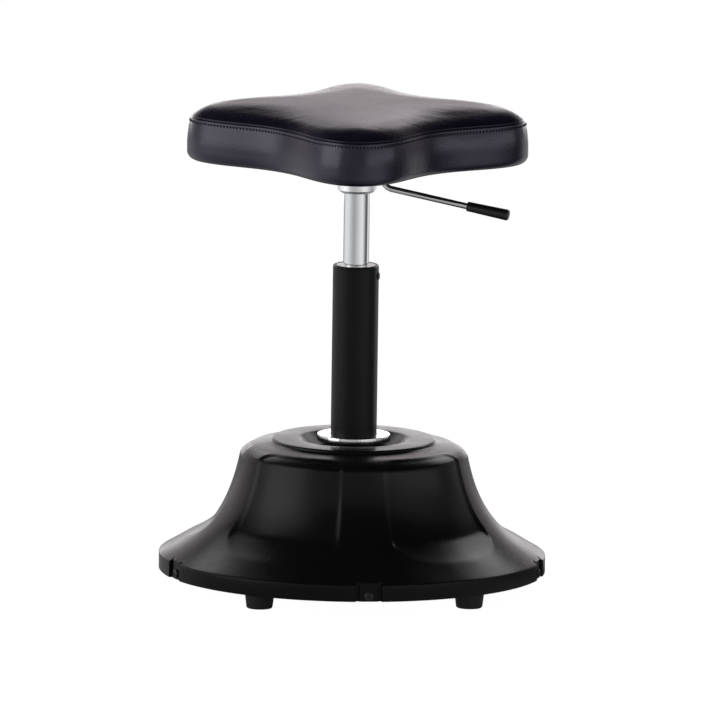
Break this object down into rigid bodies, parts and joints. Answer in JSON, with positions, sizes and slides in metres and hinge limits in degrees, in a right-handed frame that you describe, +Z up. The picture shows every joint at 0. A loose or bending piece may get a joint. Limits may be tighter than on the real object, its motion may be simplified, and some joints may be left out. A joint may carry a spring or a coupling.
{
  "type": "salon stool",
  "caption": "Height-adjustable swivel stool: lobed padded seat on a gas lift with a release lever, standing on a weighted bell-shaped base with rubber feet.",
  "frame": {"origin": "on the floor under the column's axis", "axes": "+Z up along the column; one seat lobe and the pictured side face -Y, +X is the viewer's right"},
  "size_m": [0.4194, 0.4195, 0.5315],
  "materials": {
    "leatherette": "black leatherette, semi-gloss",
    "foam": "open-cell foam",
    "plywood": "plywood, raw",
    "cloth": "black non-woven cloth",
    "zinc": "zinc plated",
    "black_steel": "black, satin",
    "chrome": "polished",
    "silver_trim": "silver grey, satin gloss",
    "grip_plastic": "black, satin",
    "shell_plastic": "black, satin",
    "nylon": "natural nylon",
    "rubber": "black, matt",
    "steel": "ground steel",
    "iron": "as cast, black",
    "brass": "turned"
  },
  "bodies": {
    "base": {"base_cover": "shell_plastic", "base_plate": "black_steel", "ballast_ring": "iron", "column_socket": "black_steel", "column_flange": "chrome", "outer_tube": "black_steel", "guide_bush": "nylon", "bush_screw": "black_steel", "thrust_race_lower": "steel", "foot_1": "rubber", "foot_2": "rubber", "foot_3": "rubber", "foot_4": "rubber", "foot_5": "rubber", "foot_bolt_1": "zinc", "foot_bolt_2": "zinc", "foot_bolt_3": "zinc", "foot_bolt_4": "zinc", "foot_bolt_5": "zinc", "cover_screw_1": "black_steel", "cover_screw_2": "black_steel", "cover_screw_3": "black_steel", "cover_screw_4": "black_steel", "cover_screw_5": "black_steel"},
    "cage": {"thrust_cage": "brass"},
    "spindle": {"piston_rod": "steel", "piston": "brass", "rod_clip": "steel", "thrust_race_upper": "steel", "bumper": "rubber"},
    "seat": {"pressure_tube": "chrome", "rod_guide": "brass", "rod_seal": "rubber", "taper_hub": "black_steel", "hub_collar": "silver_trim", "lever_pin": "steel", "seat_plate": "black_steel", "seat_bolt_1": "zinc", "seat_bolt_2": "zinc", "seat_bolt_3": "zinc", "seat_bolt_4": "zinc", "tee_nut_1": "zinc", "tee_nut_2": "zinc", "tee_nut_3": "zinc", "tee_nut_4": "zinc", "seat_board": "plywood", "dust_cloth": "cloth", "seat_foam": "foam", "seat_side_band": "leatherette", "seat_top_cover": "leatherette"},
    "lever": {"lever_rod": "chrome", "lever_grip": "grip_plastic"},
    "button": {"release_button": "steel"}
  },
  "joints": [
    {"name": "seat_swivel", "type": "hinge", "parent": "base", "child": "spindle", "pos_m": [0, 0, 0], "axis": [0, 0, 1], "continuous": true},
    {"name": "cage_turn", "type": "hinge", "parent": "base", "child": "cage", "pos_m": [0, 0, 0], "axis": [0, 0, 1], "continuous": true},
    {"name": "seat_height", "type": "slide", "parent": "spindle", "child": "seat", "axis": [0, 0, 1], "range_m": [-0.073, 0.055]},
    {"name": "lever_lift", "type": "hinge", "parent": "seat", "child": "lever", "pos_m": [0.01063, -0.00285, 0.4533], "axis": [-0.2588, -0.9659, 0], "range_deg": [0, 10], "stiffness_Nm_per_rad": 2, "springref_deg": -6.88},
    {"name": "button_press", "type": "slide", "parent": "seat", "child": "button", "axis": [0, 0, -1], "range_m": [0, 0.003]}
  ],
  "couplings": [
    {"joint": "cage_turn", "follows": "seat_swivel", "ratio": 0.5},
    {"joint": "button_press", "follows": "lever_lift", "m_per_rad": 0.0145}
  ]
}
